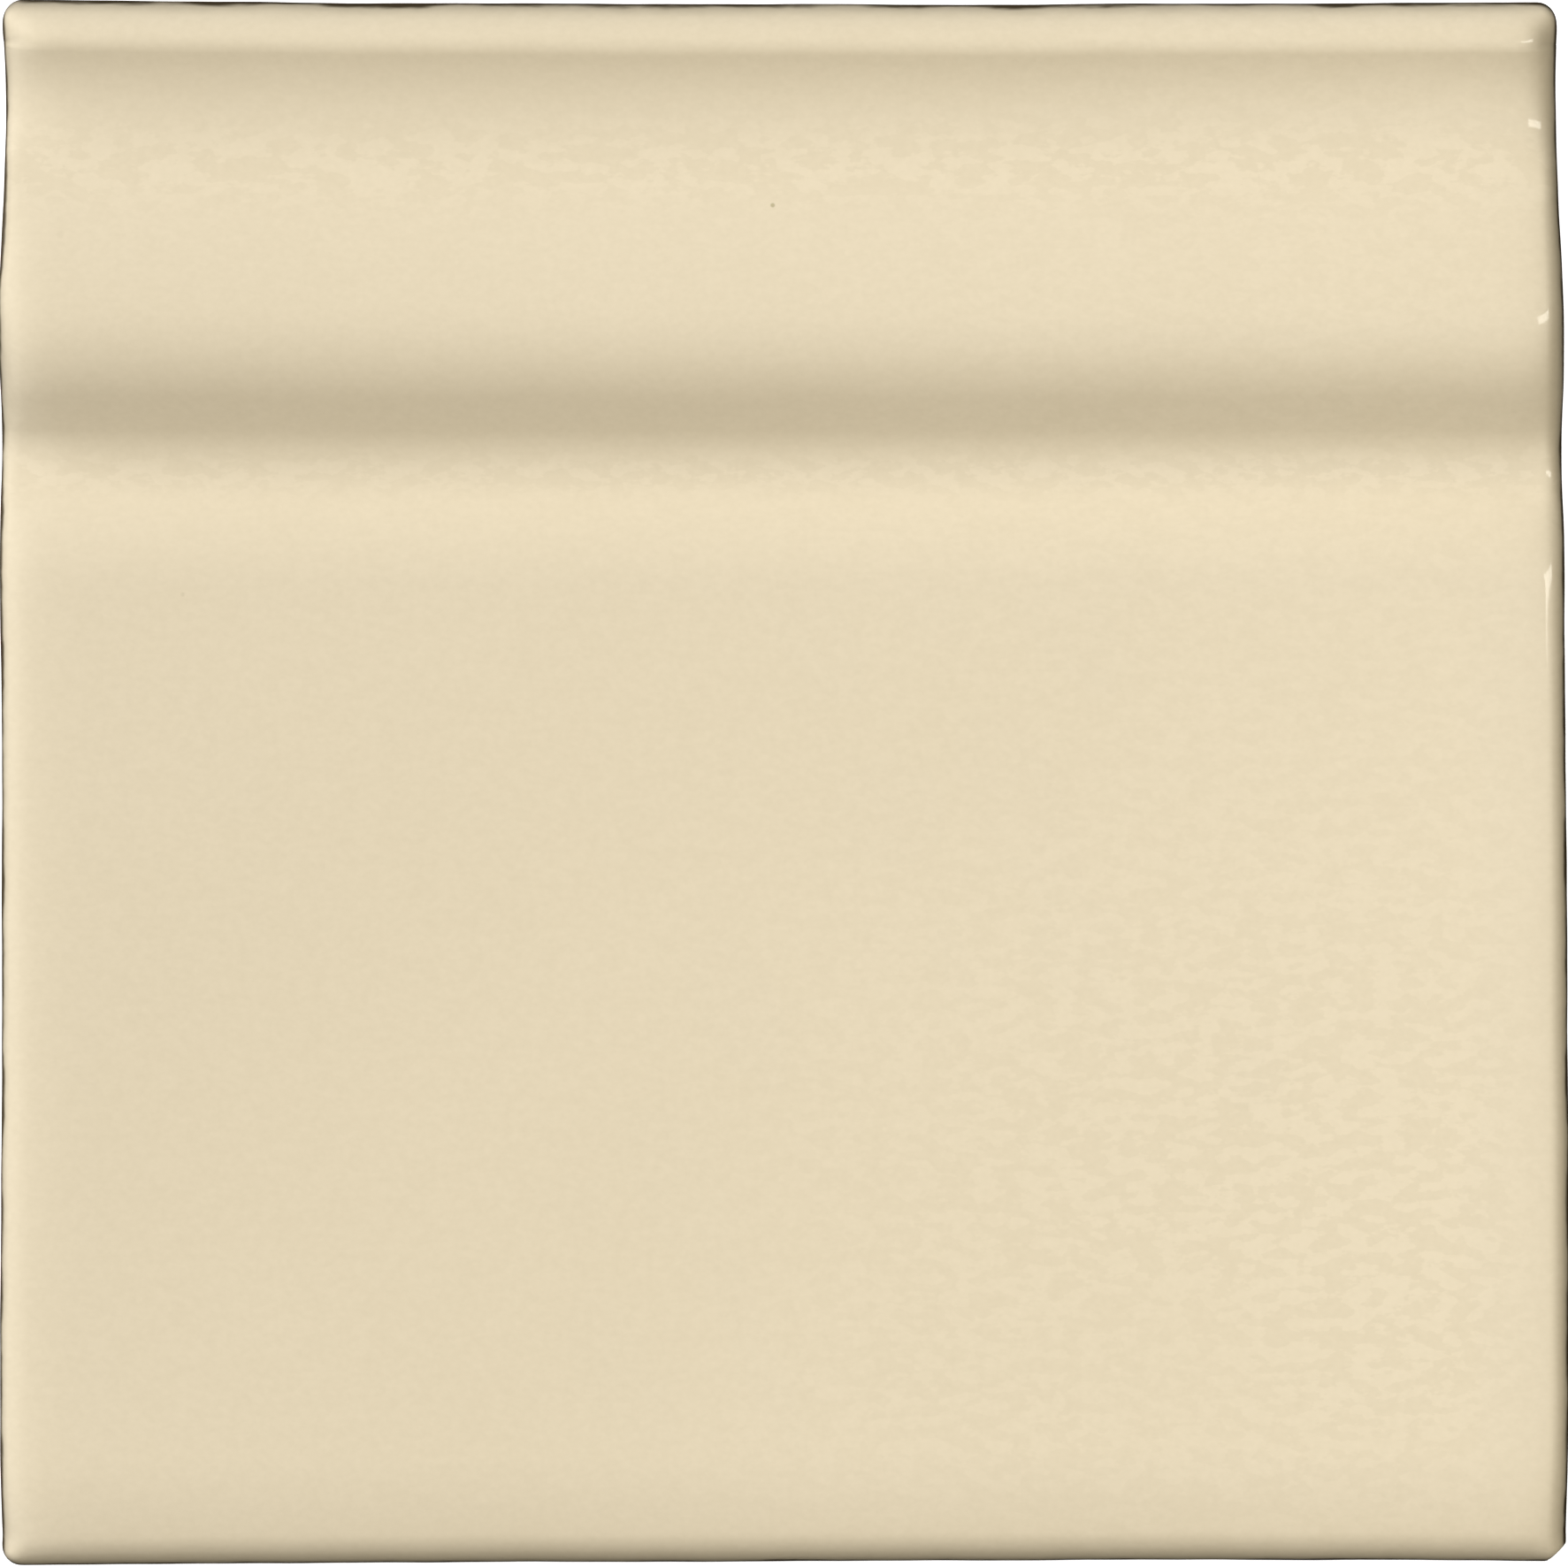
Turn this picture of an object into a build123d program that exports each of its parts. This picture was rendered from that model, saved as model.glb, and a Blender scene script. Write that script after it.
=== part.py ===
from build123d import *
import os

# Glazed ceramic skirting tile, lying on its back with the moulded face up.
# X runs along the wall, +Y points to the moulded top edge, +Z out of the face.
# The origin is the middle of the back. All sizes are in millimetres and degrees.

# Overall size
tile_width = 152.0
tile_height = 152.0
field_thickness = 10.0

# Moulding, in order from the plain field up to the top edge.
# Every arc is tangent to the next, and each slope is the one at which two of them meet.
fade_radius = 20.0
quirk_slope = 23.0
quirk_radius = 7.5
torus_slope = 34.0
torus_flank = 3.5
torus_radius = 13.2
torus_back_slope = 6.0
torus_back_radius = 33.1
cavetto_slope = 26.0
cavetto_radius = 14.8
bead_slope = 27.0
bead_flank = 0.6
bead_radius = 2.4
nosing_slope = 14.0
nosing_radius = 4.75

# Rounded edges: the foot, into which the field falls away, and both ends, where the rounding
# follows the moulding. An end is rolled at least the clearance tighter than the sharpest roll
# that it goes round.
foot_radius = 3.9
foot_slope = 12.0
foot_fade_radius = 35.0
end_radius = 2.2
end_clearance = 0.1

# Pressed back: shallow keys for the adhesive inside a plain margin, and a broken arris
key_depth = 0.8
key_width = 8.0
key_pitch = 15.0
key_margin = 11.0
key_draft = 30.0
back_chamfer = 0.4

# Moulding line, drawn from the point where it leaves the field
with BuildLine() as moulding:
    fade = JernArc((0, 0), (1, 0), fade_radius, -quirk_slope)
    quirk = JernArc(fade @ 1, fade % 1, quirk_radius, quirk_slope + torus_slope)
    flank = PolarLine(quirk @ 1, torus_flank, torus_slope)
    torus = JernArc(flank @ 1, flank % 1, torus_radius, -torus_slope - torus_back_slope)
    torus_back = JernArc(torus @ 1, torus % 1, torus_back_radius, torus_back_slope - cavetto_slope)
    cavetto = JernArc(torus_back @ 1, torus_back % 1, cavetto_radius, cavetto_slope + bead_slope)
    bead_face = PolarLine(cavetto @ 1, bead_flank, bead_slope)
    bead = JernArc(bead_face @ 1, bead_face % 1, bead_radius, -bead_slope - nosing_slope)
    nosing = JernArc(bead @ 1, bead % 1, nosing_radius, nosing_slope - 90)

# Foot line, drawn from the wall at the foot up to the field
with BuildLine() as foot:
    foot_roll = JernArc((0, 0), (0, 1), foot_radius, foot_slope - 90)
    foot_fade = JernArc(foot_roll @ 1, foot_roll % 1, foot_fade_radius, -foot_slope)

# Corners of the section: the moulding ends at the top edge, and the field fills what is left
moulding_end = nosing @ 1
top_edge = tile_height / 2
foot_edge = -tile_height / 2
field_end = Vector(top_edge - moulding_end.X, field_thickness)
nosing_end = field_end + moulding_end
foot_rise = foot_fade @ 1
foot_start = Vector(foot_edge, field_thickness - foot_rise.Y)
foot_end = foot_start + foot_rise

# Tile: the section carried along X, both ends rolled over, and the keys pressed into the back
with BuildPart() as tile:
    with BuildSketch(Plane.YZ):
        with BuildLine():
            add(moulding.line.moved(Location(field_end)))
            Polyline(nosing_end, (top_edge, 0), (foot_edge, 0), foot_start)
            add(foot.line.moved(Location(foot_start)))
            Line(foot_end, field_end)
        make_face()
    extrude(amount=tile_width / 2, both=True)

    end_edges = tile.faces().filter_by(Axis.X).edges()
    rolled_edges = end_edges - end_edges.group_by(Axis.Z)[0]
    rolls = (fade_radius, torus_radius, torus_back_radius, bead_radius, nosing_radius, foot_radius)
    end_roll = min(end_radius, min(rolls) - end_clearance)
    fillet(rolled_edges, end_roll)

    back = tile.faces().sort_by(Axis.Z)[0]
    chamfer(back.outer_wire().edges(), back_chamfer)

    key_length = tile_width - 2 * key_margin
    key_rows = int((tile_height - 2 * key_margin - key_width) // key_pitch) + 1
    with BuildSketch(Plane.XY):
        with GridLocations(0, key_pitch, 1, key_rows):
            SlotOverall(key_length, key_width)
    extrude(amount=key_depth, taper=key_draft, mode=Mode.SUBTRACT)

tile.part.label = "skirting_tile"

os.makedirs("parts", exist_ok=True)
export_step(tile.part, "parts/skirting_tile.step")
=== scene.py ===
import math

import bpy
import numpy as np
from bpy.props import FloatProperty, FloatVectorProperty, IntProperty, PointerProperty
from bpy.types import Operator, Panel, PropertyGroup
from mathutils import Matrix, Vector


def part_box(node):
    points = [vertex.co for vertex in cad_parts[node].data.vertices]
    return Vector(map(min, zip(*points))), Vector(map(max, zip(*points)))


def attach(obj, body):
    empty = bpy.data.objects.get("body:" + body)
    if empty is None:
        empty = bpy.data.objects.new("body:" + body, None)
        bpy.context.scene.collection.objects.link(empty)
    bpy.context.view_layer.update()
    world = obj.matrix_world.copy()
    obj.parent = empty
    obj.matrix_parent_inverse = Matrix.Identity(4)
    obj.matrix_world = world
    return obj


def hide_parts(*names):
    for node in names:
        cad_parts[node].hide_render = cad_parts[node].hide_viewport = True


bl_info = {
    "name": "Skirting tile",
    "version": (1, 0, 0),
    "blender": (4, 5, 0),
    "location": "View3D > Sidebar > Tile",
    "description": "Gives a moulded skirting tile its hand-pressed shape and cream glaze, on a pale stage",
    "category": "Add Mesh",
}

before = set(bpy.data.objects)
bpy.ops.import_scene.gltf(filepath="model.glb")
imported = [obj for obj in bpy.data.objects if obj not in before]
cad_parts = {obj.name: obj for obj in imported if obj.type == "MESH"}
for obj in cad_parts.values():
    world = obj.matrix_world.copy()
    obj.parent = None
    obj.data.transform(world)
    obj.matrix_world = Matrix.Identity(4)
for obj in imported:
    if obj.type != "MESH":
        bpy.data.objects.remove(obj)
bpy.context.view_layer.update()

# The tile lies on its back with the moulded face up. +X runs along the wall, +Y points to the moulded
# top edge and +Z out of the face. Lengths are in metres and angles in radians.
TILE_NODE = "skirting_tile"
TILE_LOW, TILE_HIGH = (np.array(corner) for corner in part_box(TILE_NODE))
TILE_WIDTH, TILE_HEIGHT, CREST_HEIGHT = TILE_HIGH - TILE_LOW
MM = 0.001
QUARTER = math.pi / 2

# Mesh spacing
CURVE_STEP = 0.35 * MM
FIELD_STEP = 1.2 * MM
LEAST_STEPS = 4
ACROSS_STEP = 1.5 * MM
END_ZONE = 9.0 * MM
END_STEP = 0.75 * MM
ROLL_STEPS = 12
WALL_SHARES = np.array([0.0, 0.12, 0.3, 0.5, 0.7, 0.85, 0.94, 0.97, 0.99, 1.0])

# Least and most share of an end roll's drop, where the face leans to the top edge or to the foot
LEAST_DROP = 0.15
MOST_DROP = 2.2

# Places along Y between which the right end's roll deepens to its depth along the moulding
MOULDING_RISE = (27.0 * MM, 33.0 * MM)

# Places along Y between which the right end's roll widens to its width beside the cavetto and the bead
TOP_RISE = (58.0 * MM, 64.0 * MM)

# Depth of a hollow, against the evened-out section, from which the left end's roll is widened most
FULL_HOLLOW = 0.1 * MM

# Small waves along an edge: how many fit on it, from the highest wave to the lowest
EDGE_WAVES = (5.0, 11.0, 23.0)

# Shallow waves of the face: their number, their least and greatest length, and the seed of their draws
FACE_WAVES = 8
WAVE_LENGTHS = (14.0 * MM, 48.0 * MM)
WAVE_SEED = 11

# Vertex attribute by which the glaze ends: on the face it is the distance in plan from the outline,
# and on the walls it is minus the depth below the outline, both in millimetres. The shares are what
# the distances from the ends and from the top edge count for.
REACH = "glaze_reach"
END_SHARE = 0.65
TOP_SHARE = 0.4

# Glaze's edge, in that reach: how far noise moves the dark line at the outline and the clay's edge, the
# sharp and the soft rise from brown to cream, where the line ends on the walls, and where the clay begins
# below it. The dark line is the glaze's brown break, darkened as painted shade of the steep outline.
LINE_WANDER = 0.5
CLAY_WANDER = 3.0
SHARP_RISE = (0.08, 0.28)
SOFT_RISE = (0.1, 0.6)
SHARP_SHARE = 0.8
LINE_END = (-0.35, -0.02)
CLAY_EDGE = (-1.4, -1.0)

# Cells of the cloudy noises, along X, Y and Z
BROAD_CELL = (45.0 * MM, 35.0 * MM, 40.0 * MM)
PATCH_CELL = (2.6 * MM, 1.3 * MM, 2.6 * MM)
GRAIN_CELL = (0.8 * MM, 0.6 * MM, 0.6 * MM)
RAGGED_CELL = (6.0 * MM, 6.0 * MM, 3.0 * MM)
CLAY_CELL = (4.0 * MM, 4.0 * MM, 3.0 * MM)

# Flecks in the glaze that paint a mottled sheen: where the painted sheen comes and goes along X, where it
# comes and goes along Y at the lower right, and the middle and the half width along Y of two bands that run
# along X, on the borders of the moulding's bright bands
PAINTED_SHEEN_ACROSS = ((-20.0 * MM, 50.0 * MM), (64.0 * MM, 75.0 * MM))
PAINTED_SHEEN_ALONG = ((-74.0 * MM, -60.0 * MM), (-45.0 * MM, 15.0 * MM))
PAINTED_SHEEN_BANDS = ((60.0 * MM, 6.0 * MM), (30.0 * MM, 3.0 * MM))

# Strength of the flecks: faint glaze tone everywhere, and painted sheen all down the right, at the lower
# right and in the bands
MOTTLE_LEAST = 0.1
PAINTED_SHEEN_RIGHT = 0.1
PAINTED_SHEEN_FOOT = 0.42
PAINTED_SHEEN_IN_BANDS = 0.5

# Values of a noise between which a pattern comes up: the patches of painted sheen at the lower right, the
# flecks, and the paler clay
PATCHY = (0.35, 0.6)
FLECKS = (0.48, 0.53)
CLAY_CLOUDS = (0.35, 0.65)

# Shares of the broad clouds and of the grain in the glaze's lightness, and of the patches and of the grain
# in its relief, with that relief's height
BROAD_SHARE = 0.6
GRAIN_SHARE = 1.1
PATCH_LIFT = 0.6
GRAIN_LIFT = 0.15
RELIEF_HEIGHT = 0.02 * MM

# Pinholes and faint spots in the glaze: place along X and Y and radius in millimetres, and depth of tone.
# The core is the share of the radius that is fully toned.
PINHOLES = ((-1.1, 55.9, 0.3, 0.7), (-70.0, 53.0, 0.5, 0.08), (-58.3, 18.2, 0.28, 0.2))
PINHOLE_CORE = 0.4

# Sockets of a Mix node that is set to colours
MIX_FACTOR, MIX_FIRST, MIX_SECOND, MIX_RESULT = 0, 6, 7, 2

# Lights: place, width and depth
KEY_WINDOW = ((-2.78, 1.95, 2.12), 3.0, 2.6)
SHEEN_BOX = ((0.28, -0.08, 0.55), 0.5, 0.5)
GLINT_STRIP = ((0.7, 0.128, 0.87), 0.125, 0.58)

# Room's light: it rises over the horizon, along Z, and fades from left to right, along X
SKY_RISE = (-0.05, 0.1)
ROOM_FADE = (-0.7, 0.7)

# Floor: how far it reaches from the middle each way, and its depth under the tile
FLOOR_REACH = 3.0
FLOOR_DEPTH = 0.1 * MM

# Photograph's frame, and the camera's place in it: the height of the outline, which the frame is fitted to,
# and the shift of the camera to the foot
IMAGE_WIDTH = 1773
OUTLINE_PIXELS = 1770
SENSOR_WIDTH = 36.0
OUTLINE_HEIGHT = 8.5 * MM
CAMERA_SHIFT = -0.13 * MM


def length(name, millimetres, description):
    """A length property, given in millimetres and kept in metres."""
    return FloatProperty(
        name=name, description=description, default=millimetres * MM, subtype="DISTANCE", precision=5
    )


def angle(name, degrees, description):
    """An angle property, given in degrees and kept in radians."""
    return FloatProperty(
        name=name, description=description, default=math.radians(degrees), subtype="ANGLE"
    )


def stations(name, millimetres, description):
    """Lengths at even stations along an edge, given in millimetres and kept in metres."""
    return FloatVectorProperty(
        name=name,
        description=description,
        size=len(millimetres),
        default=[value * MM for value in millimetres],
        subtype="NONE",
        unit="LENGTH",
        precision=5,
    )


def colour(name, value, description):
    """A colour property in linear red, green and blue."""
    return FloatVectorProperty(
        name=name, description=description, default=value, subtype="COLOR", size=3, min=0.0, max=1.0
    )


def factor(name, value, description, most=1.0):
    """A plain number from nil up to a limit."""
    return FloatProperty(
        name=name, description=description, default=value, min=0.0, max=most, subtype="FACTOR"
    )


class MouldingSizes(PropertyGroup):
    """Section of the moulding, from the plain field up to the top edge; all its arcs are tangent"""

    fade_radius: length("Fade radius", 20.0, "Radius of the roll by which the field falls away to the quirk")
    quirk_slope: angle("Quirk slope", 23.0, "Slope at which the field drops into the quirk")
    quirk_radius: length("Quirk radius", 7.5, "Radius of the hollow under the torus")
    torus_slope: angle("Torus slope", 34.0, "Slope of the torus's flank above the quirk")
    torus_flank: length("Torus flank", 3.5, "Straight length of that flank")
    torus_radius: length("Torus radius", 13.2, "Radius of the torus's brow")
    torus_back_slope: angle("Torus back slope", 6.0, "Slope at which the brow runs on into the torus's back")
    torus_back_radius: length("Torus back radius", 33.1, "Radius of the torus's back")
    cavetto_slope: angle("Cavetto slope", 26.0, "Slope at which the torus's back drops into the cavetto")
    cavetto_radius: length("Cavetto radius", 14.8, "Radius of the wide hollow")
    bead_slope: angle("Bead slope", 27.0, "Slope of the bead's flank above the cavetto")
    bead_flank: length("Bead flank", 0.6, "Straight length of that flank")
    bead_radius: length("Bead radius", 2.4, "Radius of the small bead by the top edge")
    nosing_slope: angle("Nosing slope", 14.0, "Slope at which the bead runs on into the nosing")
    nosing_radius: length("Nosing radius", 4.75, "Radius of the nosing that turns down to the top edge")


class EdgeSizes(PropertyGroup):
    """Rolled edges of the tile, and the keys pressed into its back"""

    foot_radius: length("Foot radius", 3.75, "Radius of the rolled foot")
    foot_slope: angle("Foot slope", 12.0, "Slope at which the field runs into the rolled foot")
    foot_fade_radius: length("Foot fade radius", 35.0, "Radius by which the field falls away to the foot")
    left_roll: length("Left roll width", 3.3, "How far the left end's roll reaches in from the end")
    left_depth: length("Left roll depth", 1.85, "How far the face drops in the left end's roll")
    left_droop: angle("Left droop", 7.5, "Slope at which the face runs into the left end's roll")
    right_roll: length("Right roll width", 2.3, "How far the right end's roll reaches in from the end")
    right_depth: length("Right roll depth", 2.15, "How far the face drops in the right end's roll")
    right_droop: angle("Right droop", 5.5, "Slope at which the face runs into the right end's roll")
    droop_length: length("Droop length", 2.0, "Length over which that slope dies away on the face")
    left_lean: factor("Left lean", 2.4, "How far the left roll deepens where the face leans footwards", 4.0)
    right_lean: factor("Right lean", 0.6, "How far the right roll deepens there", 4.0)
    right_gain: factor("Right gain", 0.4, "How far the right roll deepens along the moulding", 2.0)
    left_spread: factor("Left spread", 2.2, "How many times wider the left roll is in the hollows", 4.0)
    right_spread: factor("Right spread", 1.6, "How many times wider the right roll is near the top", 4.0)
    end_soften: length("End softening", 2.0, "Length over which the moulding softens towards both ends")
    section_blur: length("Section blur", 2.6, "Length over which the section is evened at the ends")
    corner_radius: length("Corner radius", 1.8, "Radius of the four corners in plan")
    back_roll: length("Back roll", 0.4, "Radius of the broken arris round the back")
    key_depth: length("Key depth", 0.8, "Depth of the keys in the back")
    key_width: length("Key width", 8.0, "Width of each key")
    key_pitch: length("Key pitch", 15.0, "Distance between the keys")
    key_length: length("Key length", 130.0, "Length of each key")
    key_flank: length("Key flank", 1.3, "Width of a key's sloping flank")
    key_rows: IntProperty(name="Keys", description="Number of keys", default=9, min=1)


class HandShape(PropertyGroup):
    """How far the hand-pressed outline and face stray from the true ones; outwards is positive"""

    left_drift: stations(
        "Left drift",
        (0.1, 0.2, 0.05, 0.0, 0.0, 0.15, 0.2, -0.3, -0.15),
        "Left edge, from foot to top",
    )
    right_drift: stations(
        "Right drift",
        (0.05, 0.3, 0.25, 0.15, 0.0, -0.15, -0.25, -0.72, -0.9),
        "Right edge, from foot to top",
    )
    foot_drift: stations(
        "Foot drift",
        (0.25, 0.15, 0.0, -0.05, -0.1, -0.2, -0.25, -0.25, -0.1),
        "Foot, from left to right",
    )
    top_drift: stations(
        "Top drift",
        (0.25, 0.0, -0.15, -0.2, -0.25, -0.3, -0.2, -0.15, -0.05),
        "Top edge, from left to right",
    )
    edge_wobble: length("Edge wobble", 0.045, "Height of the small waves along the edges")
    face_wave: length("Face wave", 0.05, "Height of the shallow waves of the glazed face")
    chip_reach: length("Chip reach", 106.1, "Distance of the chipped corner's flat from the tile's middle")


class GlazeFinish(PropertyGroup):
    """Colours and gloss of the glaze and of the clay that it leaves bare"""

    glaze: colour("Glaze", (0.735, 0.629, 0.44), "Cream glaze at its usual thickness")
    # Paler glaze: its lighter clouds and grain, and the painted sheen of the flecks
    pale_glaze_and_sheen: colour("Light glaze", (0.79, 0.681, 0.488), "Lighter clouds in the glaze")
    # Nearly black: the glaze's brown break at the outline, darkened as painted shade of the steep outline
    glaze_break_and_shade: colour("Thin glaze", (0.07, 0.05, 0.025), "Brown line where the glaze breaks at the outline")
    biscuit: colour("Biscuit", (0.50, 0.40, 0.28), "Bare fired clay")
    biscuit_dark: colour("Dark biscuit", (0.40, 0.31, 0.21), "Darker clouds in the bare clay")
    speck: colour("Speck", (0.4, 0.335, 0.17), "Pinholes in the glaze")
    gloss_roughness: factor("Glaze roughness", 0.42, "Roughness of the glaze")
    biscuit_roughness: factor("Biscuit roughness", 0.85, "Roughness of the bare clay")
    coat: factor("Coat", 0.8, "Share of the glaze's clear gloss")
    coat_roughness: factor("Coat roughness", 0.07, "Roughness of that gloss")


class StageSettings(PropertyGroup):
    """Floor, lights and camera"""

    floor: colour("Floor", (0.9, 0.9, 0.9), "Pale floor")
    floor_glow: factor("Floor glow", 0.75, "Even light that the floor gives to the camera")
    ambient: factor("Ambient", 0.445, "Light of the room's bright side, on the left", 4.0)
    key: factor("Key light", 1.145, "Light of the broad window at the upper left", 4.0)
    sheen: factor("Sheen light", 0.51, "Light of the overhead box at the right", 4.0)
    glint: factor("Glint light", 0.13, "Light of the strip lamp at the right, seen only as glints", 4.0)
    room_tint: colour("Room light", (1.0, 0.985, 0.96), "Tint of the light from all round")
    day_tint: colour("Daylight", (0.91, 0.937, 1.0), "Cool tint of the window's light")
    lamp_tint: colour("Lamplight", (1.0, 0.965, 0.875), "Warm tint of the overhead box's light")
    camera_height: length("Camera height", 900.0, "Height of the camera over the back of the tile")


def arc(radius, turn):
    """Stretch of a section: an arc's length and the angle that it turns through, to the left if positive."""
    return radius * abs(turn), turn


def walk(start, heading, stretches):
    """Points (Y, Z) and headings along a section made of stretches.

    The heading turns evenly along a stretch. A point is the start plus the integral of the heading's
    cosine along Y and of its sine along Z, so a stretch with no turn is a straight line and any other
    is an arc whose radius is its length over its turn.
    """
    points = [np.array([start], float)]
    headings = [np.array([heading], float)]
    for run, turn in stretches:
        step = CURVE_STEP if turn else FIELD_STEP
        share = np.linspace(0.0, 1.0, max(LEAST_STEPS, math.ceil(run / step)) + 1)[1:]
        first = headings[-1][-1]
        along = first + turn * share
        if turn:
            moved = np.stack([np.sin(along) - math.sin(first), math.cos(first) - np.cos(along)], axis=1)
            moved *= run / turn
        else:
            moved = np.outer(run * share, (math.cos(first), math.sin(first)))
        points.append(points[-1][-1] + moved)
        headings.append(along)
    return np.concatenate(points), np.concatenate(headings)


def moulding_stretches(moulding):
    """Stretches of the moulding, from the end of the field to the top edge."""
    return [
        arc(moulding.fade_radius, -moulding.quirk_slope),
        arc(moulding.quirk_radius, moulding.quirk_slope + moulding.torus_slope),
        (moulding.torus_flank, 0.0),
        arc(moulding.torus_radius, -moulding.torus_slope - moulding.torus_back_slope),
        arc(moulding.torus_back_radius, moulding.torus_back_slope - moulding.cavetto_slope),
        arc(moulding.cavetto_radius, moulding.cavetto_slope + moulding.bead_slope),
        (moulding.bead_flank, 0.0),
        arc(moulding.bead_radius, -moulding.bead_slope - moulding.nosing_slope),
        arc(moulding.nosing_radius, moulding.nosing_slope - QUARTER),
    ]


def tile_section(moulding, edges):
    """Points and outward normals of the section, from the wall at the foot to the wall at the top edge.

    The section is walked once with no field to learn its run and crest. The crest meets the top of the
    CAD box, which gives the level of the wall at the foot, and the field takes the length that is left.
    """
    foot = [
        arc(edges.foot_radius, edges.foot_slope - QUARTER),
        arc(edges.foot_fade_radius, -edges.foot_slope),
    ]
    top = moulding_stretches(moulding)
    trial, _ = walk((0.0, 0.0), QUARTER, foot + top)
    start = (TILE_LOW[1], CREST_HEIGHT - trial[:, 1].max())
    field = (TILE_HEIGHT - trial[-1, 0], 0.0)
    points, headings = walk(start, QUARTER, [*foot, field, *top])
    normals = np.stack([-np.sin(headings), np.cos(headings)], axis=1)
    return points, normals


def end_roll(width, depth, droop, droop_length):
    """Distances from an end, and how far the section is drawn in at each, out from the face to the end.

    On the face the drawing in grows as the exponential of the distance, until its slope is the droop.
    There an ellipse takes over at the same slope: at angle a, the distance is the roll's width times
    1 - sin a, and the section is drawn in by the roll's depth times the loss of cos a.
    """
    start = math.atan(math.tan(droop) * width / depth)
    turn = np.linspace(start, QUARTER, ROLL_STEPS + 1)
    roll = width * (1 - np.sin(turn))
    face = roll[0] + np.linspace(END_ZONE, 0.0, math.ceil(END_ZONE / END_STEP), endpoint=False)
    drooped = math.tan(droop) * droop_length
    on_face = drooped * np.exp((roll[0] - face) / droop_length)
    on_roll = drooped + depth * (math.cos(start) - np.cos(turn))
    return np.concatenate([face, roll]), np.concatenate([on_face, on_roll])


def across_lines(edges):
    """Places along X, and how far the face is drawn in at each: the two end rolls and even lines between."""
    fade = edges.droop_length
    left, left_inset = end_roll(edges.left_roll, edges.left_depth, edges.left_droop, fade)
    right, right_inset = end_roll(edges.right_roll, edges.right_depth, edges.right_droop, fade)
    first = TILE_LOW[0] + left[0]
    last = TILE_HIGH[0] - right[0]
    middle = np.linspace(first, last, math.ceil((last - first) / ACROSS_STEP) + 1)[1:-1]
    x = np.concatenate([TILE_LOW[0] + left[::-1], middle, TILE_HIGH[0] - right])
    return x, np.concatenate([left_inset[::-1], np.zeros(len(middle)), right_inset])


def spread_rolls(x, inset, left_spread, right_spread):
    """How far the face is drawn in where the end rolls are wider.

    A place takes the value of the one whose distance from the same end is smaller by that end's spread.
    """
    from_left = x - TILE_LOW[0]
    from_right = TILE_HIGH[0] - x
    at_left = np.interp(from_left / left_spread, from_left, inset)
    at_right = np.interp(from_right / right_spread, from_right[::-1], inset[::-1])
    return np.where(x < 0, at_left, at_right)


def corner_inset(x, radius):
    """How far the walls are drawn in at places along X: by a quarter circle of the radius at each end."""
    within = np.clip(1 - np.minimum(x - TILE_LOW[0], TILE_HIGH[0] - x) / radius, 0.0, 1.0)
    return radius * (1 - np.sqrt(1 - within**2))


def smooth_rise(values, low, high):
    """Nil below one value, one above the other, and a smooth cubic rise between them."""
    share = np.clip((values - low) / (high - low), 0.0, 1.0)
    return share**2 * (3 - 2 * share)


def evened(points, blur):
    """Matrix that evens out values along a section.

    Each row weighs the points by the bell curve of their distance along Y and by their share of the
    section's width, and adds up to one.
    """
    y = points[:, 0]
    weights = np.exp(-(((y[:, None] - y[None, :]) / blur) ** 2) / 2) * np.gradient(y)[None, :]
    return weights / weights.sum(axis=1, keepdims=True)


def face_sheet(moulding, edges):
    """Front of the tile as a grid: the section carried along X and drawn in along its normals at the ends.

    What faces up is drawn in by the end roll and what faces sideways by the corner, and the upward part of
    the normal blends the two. The roll is widened at the left by how hollow the section is, and at the right
    near the top edge. The drop that this makes is then scaled by one less the lean times the normal's part
    along Y, so that the roll is deeper where the face leans to the foot, and at the right also by the gain
    along the moulding. Towards both ends, the heights blend into those of an evened-out section, by the bell
    curve of the distance from the end.
    """
    points, normals = tile_section(moulding, edges)
    x, roll = across_lines(edges)
    even = evened(points, edges.section_blur)
    filled = even @ points[:, 1] - points[:, 1]
    # The widening is evened twice along the section, so that it comes and goes softly
    hollow = even @ even @ smooth_rise(filled, 0.0, FULL_HOLLOW)
    near_top = smooth_rise(points[:, 0], *TOP_RISE)
    widened = np.where(x[:, None] < 0, hollow, near_top)
    wide_roll = spread_rolls(x, roll, edges.left_spread, edges.right_spread)
    corner = corner_inset(x, edges.corner_radius)
    up = np.clip(normals[None, :, 1], 0.0, 1.0)
    rolled = roll[:, None] + widened * (wide_roll - roll)[:, None]
    inset = up * rolled + (1 - up) * corner[:, None]
    drawn = points[None, :, :] - inset[..., None] * normals[None, :, :]
    at_left = np.clip(-edges.left_lean * normals[:, 0], LEAST_DROP - 1, MOST_DROP - 1)
    gain = edges.right_gain * smooth_rise(points[:, 0], *MOULDING_RISE)
    at_right = gain - edges.right_lean * normals[:, 0]
    drawn[..., 1] -= inset * up * np.where(x[:, None] < 0, even @ at_left, even @ at_right)
    from_end = np.minimum(x - TILE_LOW[0], TILE_HIGH[0] - x)
    drawn[..., 1] += up * np.exp(-((from_end / edges.end_soften) ** 2))[:, None] * filled
    return np.concatenate([np.broadcast_to(x[:, None, None], (*drawn.shape[:2], 1)), drawn], axis=2)


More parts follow.
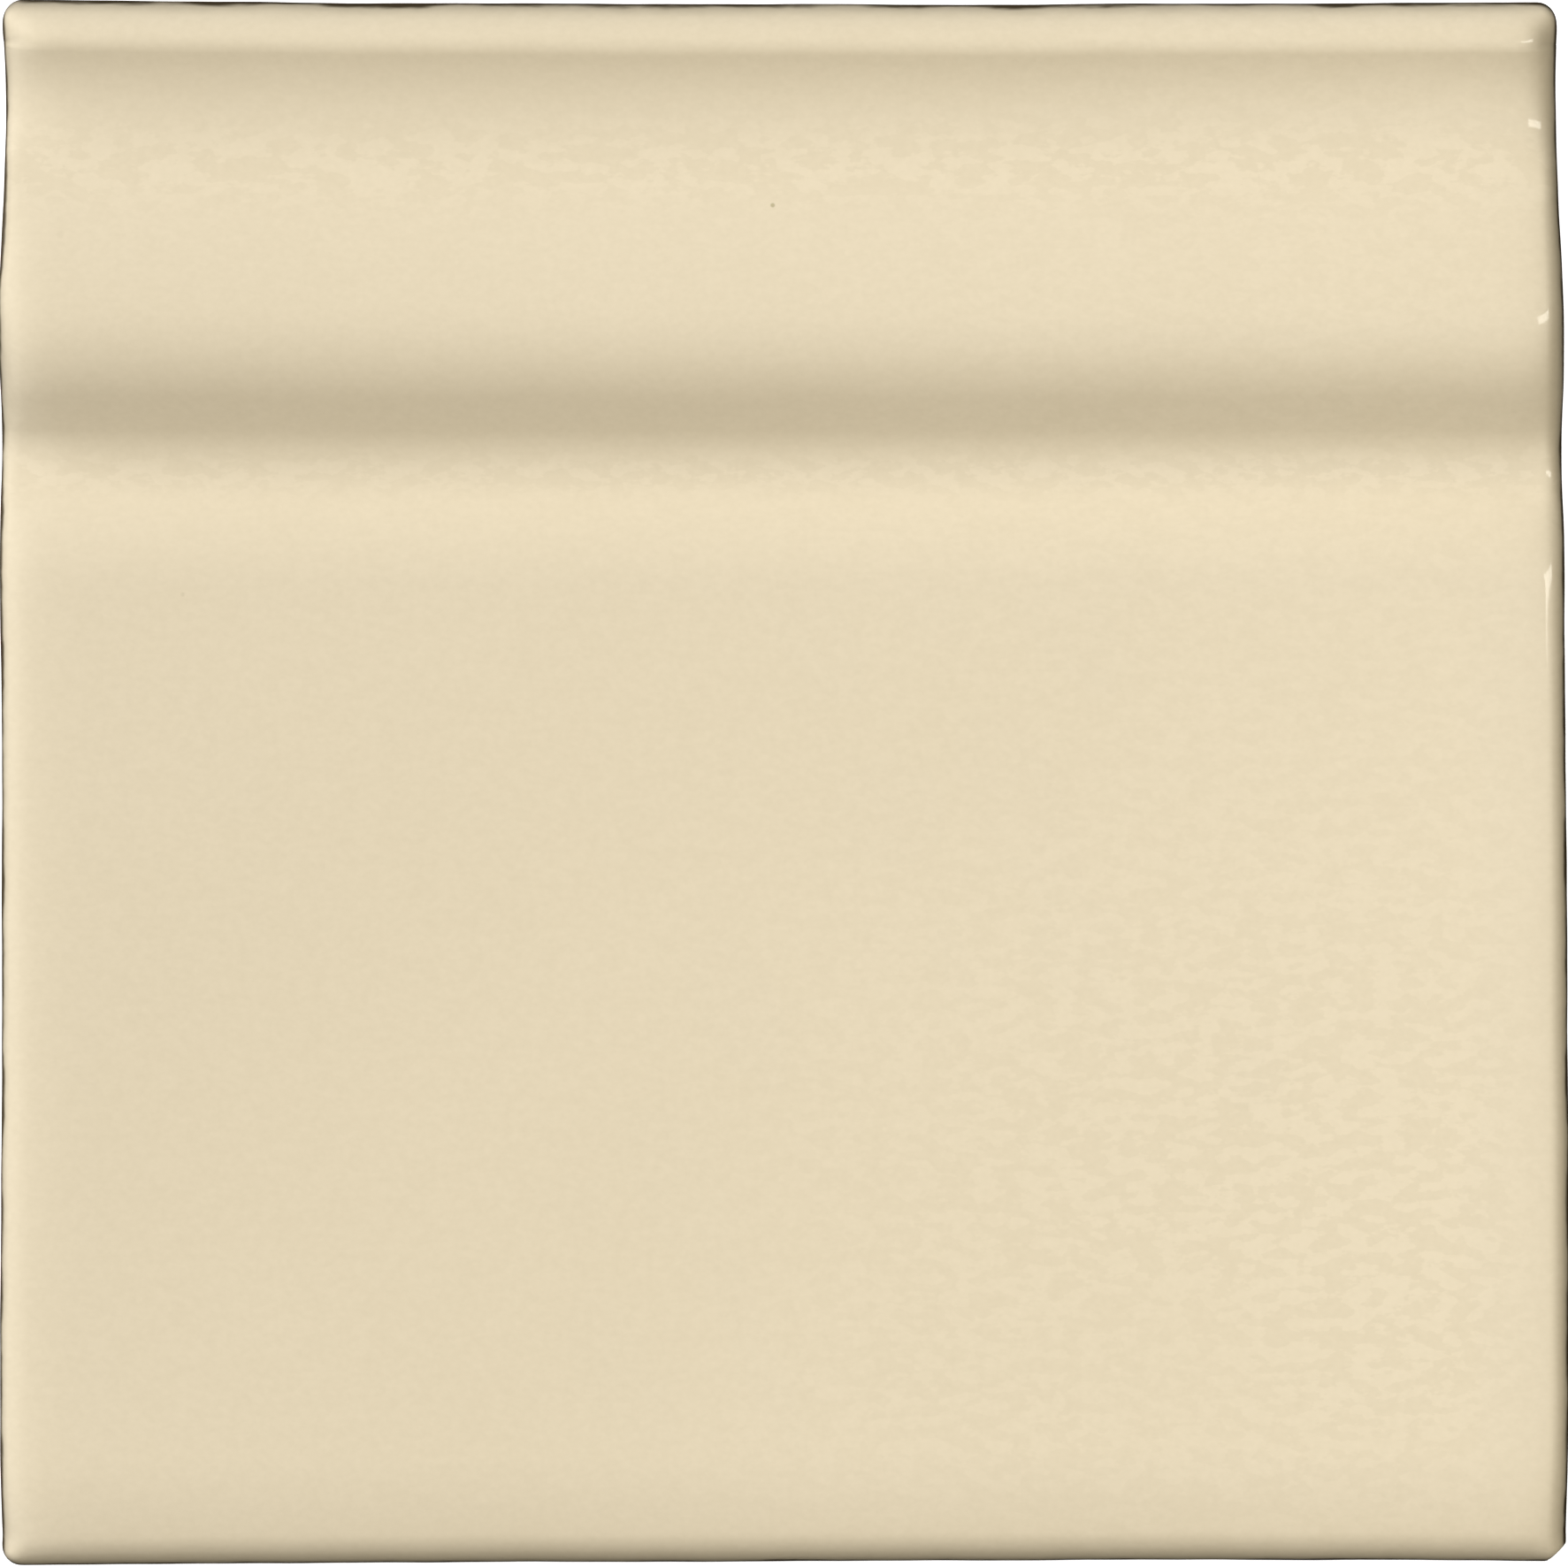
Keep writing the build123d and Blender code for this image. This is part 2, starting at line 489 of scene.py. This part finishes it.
def from_outline(sheet):
    """Distance in plan from the outline all over the face: the least of those along its two sets of lines.

    From the ends, and still more from the top edge, it counts for less, so that the dark line at the
    outline, which is the glaze's brown break darkened as painted shade of the outline, is wider there.
    """
    x, y = sheet[..., 0], sheet[..., 1]
    to_ends = np.minimum(x - x[:1], x[-1:] - x) * END_SHARE
    to_sides = np.minimum(y - y[:, :1], (y[:, -1:] - y) * TOP_SHARE)
    return np.minimum(to_ends, to_sides)


def back_keys(x, y, edges):
    """Height of the back's surface: straight keys with round ends and soft flanks.

    The distance from a key's middle line, less half its width, is ramped over the flank to the key's depth.
    """
    row = np.clip(np.round(y / edges.key_pitch), -(edges.key_rows // 2), edges.key_rows // 2)
    beyond_end = np.maximum(np.abs(x) - (edges.key_length - edges.key_width) / 2, 0.0)
    off_line = np.hypot(beyond_end, y - row * edges.key_pitch)
    share = np.clip((edges.key_width / 2 - off_line) / edges.key_flank, 0.0, 1.0)
    return edges.key_depth * share**2 * (3 - 2 * share)


def sheet_faces(index):
    """Quads between the lines of a grid of vertex numbers, turning from its first axis to its second."""
    corners = [index[:-1, :-1], index[1:, :-1], index[1:, 1:], index[:-1, 1:]]
    return np.stack(corners, axis=-1).reshape(-1, 4)


def closed_tile(moulding, edges):
    """Vertices, quads and glaze reach of the whole tile: face, walls and back share their border vertices.

    The walls drop from the face's border to the back. Near the back, both are drawn towards the middle by a
    quarter circle of the back roll's radius.
    """
    face = face_sheet(moulding, edges)
    lines, rows = face.shape[:2]
    half = TILE_WIDTH / 2

    back_plan = face[..., :2] * (1 - edges.back_roll / half)
    keys = back_keys(back_plan[..., 0], back_plan[..., 1], edges)
    back = np.concatenate([back_plan, keys[..., None]], axis=2)

    face_index = np.arange(lines * rows).reshape(lines, rows)
    back_index = face_index + lines * rows
    border = np.concatenate([
        face_index[:, 0],
        face_index[-1, 1:],
        face_index[-2::-1, -1],
        face_index[0, -2:0:-1],
    ])
    rim = face.reshape(-1, 3)[border]

    height = rim[:, 2, None] * (1 - WALL_SHARES[None, 1:-1])
    below = np.clip(1 - height / edges.back_roll, 0.0, 1.0)
    drawn = 1 - edges.back_roll * (1 - np.sqrt(1 - below**2)) / half
    wall = np.concatenate([rim[:, None, :2] * drawn[..., None], height[..., None]], axis=2)
    wall_index = 2 * lines * rows + np.arange(wall.shape[0] * wall.shape[1]).reshape(wall.shape[:2])
    strip = np.concatenate([border[:, None], wall_index, border[:, None] + lines * rows], axis=1)
    strip = np.concatenate([strip, strip[:1]])

    vertices = np.concatenate([face.reshape(-1, 3), back.reshape(-1, 3), wall.reshape(-1, 3)])
    sheets = (face_index, back_index[::-1], strip[:, ::-1])
    quads = np.concatenate([sheet_faces(sheet) for sheet in sheets])
    reach = np.concatenate([
        from_outline(face).ravel(),
        np.full(lines * rows, -CREST_HEIGHT),
        (height - rim[:, 2, None]).ravel(),
    ])
    return vertices, quads, reach / MM


def edge_drift(values, place, span, phase, wobble):
    """Drift of one edge: a smooth cubic step from each even station to the next, plus three small waves."""
    share = np.clip(place / span + 0.5, 0.0, 1.0)
    along = share * (len(values) - 1)
    before = np.minimum(along.astype(int), len(values) - 2)
    steps = np.diff(values)
    steady = np.array(values)[before] + steps[before] * smooth_rise(along - before, 0.0, 1.0)
    waves = sum(
        np.sin(math.tau * count * share + phase[i]) / (i + 1) for i, count in enumerate(EDGE_WAVES)
    )
    return steady + wobble * waves / 2


def hand_pressed(vertices, hand):
    """Moves the vertices as a hand-pressed tile strays from the true one.

    The drifts of two facing edges are blended evenly across the tile. The face is waved by a sum of sines
    of seeded direction, length and phase, fading to nil at the back. The corner between the foot and the
    right end is pushed back to a flat that faces the diagonal.
    """
    rng = np.random.default_rng(WAVE_SEED)
    phases = rng.uniform(0.0, math.tau, (4, len(EDGE_WAVES)))
    x, y, z = vertices.T
    share_x = x / TILE_WIDTH + 0.5
    share_y = y / TILE_HEIGHT + 0.5
    left = edge_drift(hand.left_drift, y, TILE_HEIGHT, phases[0], hand.edge_wobble)
    right = edge_drift(hand.right_drift, y, TILE_HEIGHT, phases[1], hand.edge_wobble)
    foot = edge_drift(hand.foot_drift, x, TILE_WIDTH, phases[2], hand.edge_wobble)
    top = edge_drift(hand.top_drift, x, TILE_WIDTH, phases[3], hand.edge_wobble)

    wave = np.zeros_like(z)
    for _ in range(FACE_WAVES):
        spacing = rng.uniform(*WAVE_LENGTHS)
        heading = rng.uniform(0.0, math.tau)
        shift = rng.uniform(0.0, math.tau)
        ahead = x * math.cos(heading) + y * math.sin(heading)
        wave += np.sin(math.tau * ahead / spacing + shift) / FACE_WAVES
    moved = np.stack([
        x + share_x * right - (1 - share_x) * left,
        y + share_y * top - (1 - share_y) * foot,
        z + hand.face_wave * wave * z / CREST_HEIGHT,
    ], axis=1)
    diagonal = np.array([math.sqrt(0.5), -math.sqrt(0.5), 0.0])
    proud = np.maximum(moved @ diagonal - hand.chip_reach, 0.0)
    return moved - proud[:, None] * diagonal


class Term:
    """A node's output as a number, colour or vector in Python expressions."""

    def __init__(self, socket):
        self.socket = socket

    @classmethod
    def node(cls, tree, kind, settings=None, inputs=None, output=0):
        """Adds a node, sets its settings, fills its inputs with values or links, and gives one output."""
        node = tree.nodes.new(kind)
        for name, value in (settings or {}).items():
            setattr(node, name, value)
        for name, value in (inputs or {}).items():
            if isinstance(value, cls):
                tree.links.new(value.socket, node.inputs[name])
            else:
                node.inputs[name].default_value = value
        return cls(node.outputs[output]) if node.outputs else None

    def math(self, operation, first, second):
        """A Math node on two numbers."""
        tree = self.socket.id_data
        return self.node(tree, "ShaderNodeMath", {"operation": operation}, {0: first, 1: second})

    def __add__(self, other):
        return self.math("ADD", self, other)

    __radd__ = __add__

    def __mul__(self, other):
        return self.math("MULTIPLY", self, other)

    __rmul__ = __mul__

    def __sub__(self, other):
        return self.math("SUBTRACT", self, other)

    def __rsub__(self, other):
        return self.math("SUBTRACT", other, self)

    def ramp(self, low, high):
        """Nil below one value, one above the other, and a smooth rise between them."""
        return self.node(
            self.socket.id_data,
            "ShaderNodeMapRange",
            {"interpolation_type": "SMOOTHSTEP", "clamp": True},
            {"Value": self, "From Min": low, "From Max": high},
        )

    def blend(self, first, second):
        """The first colour where this number is nil and the second where it is one."""
        return self.node(
            self.socket.id_data,
            "ShaderNodeMix",
            {"data_type": "RGBA", "clamp_factor": True},
            {MIX_FACTOR: self, MIX_FIRST: opaque(first), MIX_SECOND: opaque(second)},
            output=MIX_RESULT,
        )


def opaque(value):
    """A plain colour with its alpha, or a linked one as it is."""
    return value if isinstance(value, Term) else (*value, 1.0)


def clouds(tree, place, cell, detail=2.0):
    """Cloudy noise about one half, with cells of the given width along X, Y and Z."""
    scaled = Term.node(
        tree, "ShaderNodeMapping", {}, {"Vector": place, "Scale": tuple(1 / width for width in cell)}
    )
    return Term.node(tree, "ShaderNodeTexNoise", {}, {"Vector": scaled, "Scale": 1.0, "Detail": detail})


def spot(tree, place, centre, radius):
    """One on a round spot and nil past its soft edge, by the distance in plan from its centre."""
    plan = Term.node(tree, "ShaderNodeMapping", {}, {"Vector": place, "Scale": (1.0, 1.0, 0.0)})
    apart = Term.node(
        tree, "ShaderNodeVectorMath", {"operation": "DISTANCE"}, {0: plan, 1: (*centre, 0.0)}, output="Value"
    )
    return 1 - apart.ramp(radius * PINHOLE_CORE, radius)


def finished_material(name):
    """A new material with an empty node tree."""
    material = bpy.data.materials.new(name)
    material.use_nodes = True
    material.node_tree.nodes.clear()
    return material


def glaze_material(finish):
    """Cream glaze over the face and its rolled edges, a dark line at the outline, and bare clay below.

    The glaze turns to a dark line by its distance from the outline; the line is the glaze's brown break,
    darkened as painted shade of the steep outline. The line ends just below the outline, and the clay begins
    some way down the walls, both moved to and fro by cloudy noise. The glaze's lightness is the sum of broad
    clouds, a fine grain and small flattened flecks, which are faint everywhere and stronger at the lower
    right and in two bands along the moulding, where they paint the mottled sheen of the light on the glaze.
    A few pinholes darken it. The patches that make the flecks and the grain also lift its surface.
    """
    material = finished_material("cream_glaze_over_biscuit")
    tree = material.node_tree
    place = Term.node(tree, "ShaderNodeTexCoord", output="Object")
    reach = Term.node(tree, "ShaderNodeAttribute", {"attribute_name": REACH}, output="Fac")
    across = Term.node(tree, "ShaderNodeSeparateXYZ", {}, {0: place}, output="X")
    along = Term.node(tree, "ShaderNodeSeparateXYZ", {}, {0: place}, output="Y")

    broad = clouds(tree, place, BROAD_CELL)
    patches = clouds(tree, place, PATCH_CELL, detail=4.0)
    grain = clouds(tree, place, GRAIN_CELL)
    ragged = clouds(tree, place, RAGGED_CELL, detail=3.0)

    # Painted shade: a dark line at the outline, the glaze's brown break darkened to stand in for the
    # outline's shade
    strayed = reach + (ragged - 0.5) * LINE_WANDER
    inside = strayed.ramp(*SHARP_RISE) * SHARP_SHARE + strayed.ramp(*SOFT_RISE) * (1 - SHARP_SHARE)
    below = 1 - strayed.ramp(*LINE_END)
    off_dark_line = inside + below

    # Painted sheen: flecks strongest down the right, at the lower right and along the borders of the
    # moulding's bright bands
    comes, goes = PAINTED_SHEEN_ACROSS
    rightwards = across.ramp(*comes) * (1 - across.ramp(*goes))
    comes, goes = PAINTED_SHEEN_ALONG
    footwards = along.ramp(*comes) * (1 - along.ramp(*goes))
    bands = sum(
        along.ramp(middle - half, middle) * (1 - along.ramp(middle, middle + half))
        for middle, half in PAINTED_SHEEN_BANDS
    )
    lower_right_sheen = footwards * broad.ramp(*PATCHY) * PAINTED_SHEEN_FOOT
    fleck_and_sheen_strength = rightwards * (lower_right_sheen + PAINTED_SHEEN_RIGHT) + bands * PAINTED_SHEEN_IN_BANDS + MOTTLE_LEAST
    flecks = (patches.ramp(*FLECKS) - 0.5) * fleck_and_sheen_strength
    light = flecks + (broad - 0.5) * BROAD_SHARE + (grain - 0.5) * GRAIN_SHARE + 0.5

    # Glaze tone, with the painted sheen of the flecks
    cream = light.blend(finish.glaze, finish.pale_glaze_and_sheen)
    for x, y, radius, depth in PINHOLES:
        cream = (spot(tree, place, (x * MM, y * MM), radius * MM) * depth).blend(cream, finish.speck)
    # Painted shade: the dark line at the outline laid over the cream
    glaze = off_dark_line.blend(finish.glaze_break_and_shade, cream)
    cloudy = clouds(tree, place, CLAY_CELL, detail=4.0).ramp(*CLAY_CLOUDS)
    clay = cloudy.blend(finish.biscuit_dark, finish.biscuit)
    cover = (reach + (ragged - 0.5) * CLAY_WANDER).ramp(*CLAY_EDGE)
    rougher = finish.biscuit_roughness - finish.gloss_roughness

    lift = patches * PATCH_LIFT + grain * GRAIN_LIFT
    relief = Term.node(
        tree, "ShaderNodeBump", {}, {"Strength": 1.0, "Distance": RELIEF_HEIGHT, "Height": lift}
    )
    surface = Term.node(
        tree,
        "ShaderNodeBsdfPrincipled",
        {},
        {
            "Base Color": cover.blend(clay, glaze),
            "Roughness": finish.biscuit_roughness - cover * rougher,
            "IOR": 1.5,
            "Coat Weight": cover * off_dark_line * finish.coat,
            "Coat Roughness": finish.coat_roughness,
            "Normal": relief,
        },
    )
    Term.node(tree, "ShaderNodeOutputMaterial", {}, {"Surface": surface})
    return material


def floor_material(stage):
    """Pale matt floor with an even glow of its own."""
    material = finished_material("pale_floor")
    tree = material.node_tree
    surface = Term.node(
        tree,
        "ShaderNodeBsdfPrincipled",
        {},
        {
            "Base Color": opaque(stage.floor),
            "Roughness": 0.9,
            "Specular IOR Level": 0.1,
            "Emission Color": (1.0, 1.0, 1.0, 1.0),
            "Emission Strength": stage.floor_glow,
        },
    )
    Term.node(tree, "ShaderNodeOutputMaterial", {}, {"Surface": surface})
    return material


def mesh_object(name, vertices, faces, material):
    """Makes a smooth mesh object at the origin from arrays of vertices and faces."""
    mesh = bpy.data.meshes.new(name)
    mesh.from_pydata(vertices, [], faces)
    mesh.shade_smooth()
    mesh.materials.append(material)
    made = bpy.data.objects.new(name, mesh)
    bpy.context.scene.collection.objects.link(made)
    return made


def area_light(name, place, width, depth, level, tint):
    """A rectangular light that faces the tile's middle, with its width level and its depth sloping.

    Its power is the one at which a white face square on to it, in the tile's middle, is as bright as the
    level.
    """
    lamp = bpy.data.lights.new(name, "AREA")
    lamp.shape = "RECTANGLE"
    lamp.size = width
    lamp.size_y = depth
    lamp.energy = level * (math.pi * Vector(place).length) ** 2
    lamp.color = tint
    holder = bpy.data.objects.new(name, lamp)
    holder.location = place
    holder.rotation_euler = Vector(place).to_track_quat("Z", "Y").to_euler()
    bpy.context.scene.collection.objects.link(holder)
    return holder


class SKIRTING_OT_glazed_tile(Operator):
    """Make the glazed tile, one closed surface in the place of the plain solid"""

    bl_idname = "skirting.glazed_tile"
    bl_label = "Glazed tile"

    def execute(self, context):
        scene = context.scene
        vertices, quads, reach = closed_tile(scene.tile_moulding, scene.tile_edges)
        tile = mesh_object(
            "glazed_tile", hand_pressed(vertices, scene.tile_hand), quads, glaze_material(scene.tile_glaze)
        )
        attribute = tile.data.attributes.new(REACH, "FLOAT", "POINT")
        attribute.data.foreach_set("value", reach.astype(np.float32))
        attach(tile, "root")
        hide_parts(TILE_NODE)
        return {"FINISHED"}


class SKIRTING_OT_stage(Operator):
    """Set the pale floor, the soft lights and the camera over the tile"""

    bl_idname = "skirting.stage"
    bl_label = "Stage"

    def execute(self, context):
        scene = context.scene
        stage = scene.tile_stage
        sides = FLOOR_REACH * np.array([(-1.0, -1.0), (1.0, -1.0), (1.0, 1.0), (-1.0, 1.0)])
        corners = np.concatenate([sides, np.full((4, 1), -FLOOR_DEPTH)], axis=1)
        floor = mesh_object("floor", corners, np.array([[0, 1, 2, 3]]), floor_material(stage))
        floor.visible_diffuse = False
        floor.visible_glossy = False

        world = bpy.data.worlds.new("soft_room")
        world.use_nodes = True
        tree = world.node_tree
        tree.nodes.clear()
        direction = Term.node(tree, "ShaderNodeTexCoord", output="Generated")
        upwards = Term.node(tree, "ShaderNodeSeparateXYZ", {}, {0: direction}, output="Z")
        rightwards = Term.node(tree, "ShaderNodeSeparateXYZ", {}, {0: direction}, output="X")
        sky = upwards.ramp(*SKY_RISE) * (1 - rightwards.ramp(*ROOM_FADE)) * stage.ambient
        glow = Term.node(
            tree, "ShaderNodeBackground", {}, {"Color": opaque(stage.room_tint), "Strength": sky}
        )
        Term.node(tree, "ShaderNodeOutputWorld", {}, {"Surface": glow})
        scene.world = world

        window = area_light("key_window", *KEY_WINDOW, stage.key, stage.day_tint)
        window.visible_glossy = False
        box = area_light("sheen_box", *SHEEN_BOX, stage.sheen, stage.lamp_tint)
        box.visible_glossy = False
        strip = area_light("glint_strip", *GLINT_STRIP, stage.glint, stage.lamp_tint)
        strip.visible_diffuse = False

        lens = bpy.data.cameras.new("camera")
        lens.sensor_width = SENSOR_WIDTH
        frame_width = TILE_WIDTH * IMAGE_WIDTH / OUTLINE_PIXELS
        lens.lens = SENSOR_WIDTH * (stage.camera_height - OUTLINE_HEIGHT) / frame_width
        camera = bpy.data.objects.new("camera", lens)
        camera.location = (0.0, CAMERA_SHIFT, stage.camera_height)
        scene.collection.objects.link(camera)
        scene.camera = camera
        scene.view_settings.view_transform = "Standard"
        return {"FINISHED"}


class SKIRTING_PT_tile(Panel):
    """Settings of the tile and its stage"""

    bl_label = "Skirting tile"
    bl_idname = "SKIRTING_PT_tile"
    bl_space_type = "VIEW_3D"
    bl_region_type = "UI"
    bl_category = "Tile"

    def draw(self, context):
        for operator, groups in OPERATOR_GROUPS.items():
            box = self.layout.box()
            box.operator(operator)
            for group in groups:
                settings = getattr(context.scene, group)
                for name in settings.__annotations__:
                    box.prop(settings, name)


SETTINGS = {
    "tile_moulding": MouldingSizes,
    "tile_edges": EdgeSizes,
    "tile_hand": HandShape,
    "tile_glaze": GlazeFinish,
    "tile_stage": StageSettings,
}
OPERATOR_GROUPS = {
    SKIRTING_OT_glazed_tile.bl_idname: ("tile_moulding", "tile_edges", "tile_hand", "tile_glaze"),
    SKIRTING_OT_stage.bl_idname: ("tile_stage",),
}
CLASSES = (*SETTINGS.values(), SKIRTING_OT_glazed_tile, SKIRTING_OT_stage, SKIRTING_PT_tile)


def register():
    for made in CLASSES:
        bpy.utils.register_class(made)
    for name, group in SETTINGS.items():
        setattr(bpy.types.Scene, name, PointerProperty(type=group))


def unregister():
    for name in SETTINGS:
        delattr(bpy.types.Scene, name)
    for made in reversed(CLASSES):
        bpy.utils.unregister_class(made)


def main():
    register()
    bpy.ops.skirting.glazed_tile()
    bpy.ops.skirting.stage()


if __name__ == "__main__":
    main()
